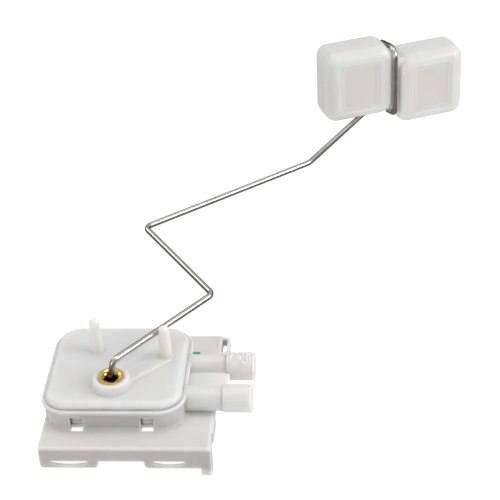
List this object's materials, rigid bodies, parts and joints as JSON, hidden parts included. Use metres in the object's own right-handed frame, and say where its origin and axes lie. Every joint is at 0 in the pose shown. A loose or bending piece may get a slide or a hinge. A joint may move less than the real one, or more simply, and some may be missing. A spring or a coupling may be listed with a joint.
{
  "type": "float level sender",
  "caption": "In-tank float level sender: a bent wire arm with a twin-block float turns a wiper over a resistor card inside a clip-on plastic housing.",
  "frame": {"origin": "where the arm's pivot axis meets the underside of the base plate, which seats on its bracket", "axes": "+Z along the pivot axis, from the seat towards the float arm; +X towards the two lead stubs; +Y from the pivot towards the far edge of the plate"},
  "size_m": [0.1514, 0.218, 0.0645],
  "materials": {
    "housing": "satin, slightly translucent",
    "bearing_plastic": "satin",
    "sleeve": "satin, slightly translucent",
    "float": "satin, slightly translucent",
    "arm_steel": "drawn wire",
    "spring_steel": "rolled",
    "brass": "polished",
    "contact_metal": "satin",
    "tinned_brass": "satin",
    "circuit_card": "satin",
    "carbon_track": "matt"
  },
  "bodies": {
    "housing": {"base_housing": "housing", "cover": "housing", "pivot_bush": "brass", "thrust_washer": "bearing_plastic", "resistor_card": "circuit_card", "resistor_track": "carbon_track", "collector_track": "contact_metal", "terminal_front": "tinned_brass", "terminal_rear": "tinned_brass", "terminal_rivets": "tinned_brass", "lead_sleeve_front": "sleeve", "lead_sleeve_rear": "sleeve"},
    "arm": {"float_arm": "arm_steel", "wiper_rotor": "bearing_plastic", "arm_clip": "spring_steel", "wave_washer": "spring_steel", "wiper_spring": "contact_metal", "spring_rivet": "brass", "wiper_contacts": "contact_metal", "float_front_shell": "float", "float_back_shell": "float"}
  },
  "joints": [
    {"name": "arm_pivot", "type": "hinge", "parent": "housing", "child": "arm", "pos_m": [0, 0, 0.005], "axis": [0, 0, 1], "range_deg": [0, 51.5]}
  ]
}
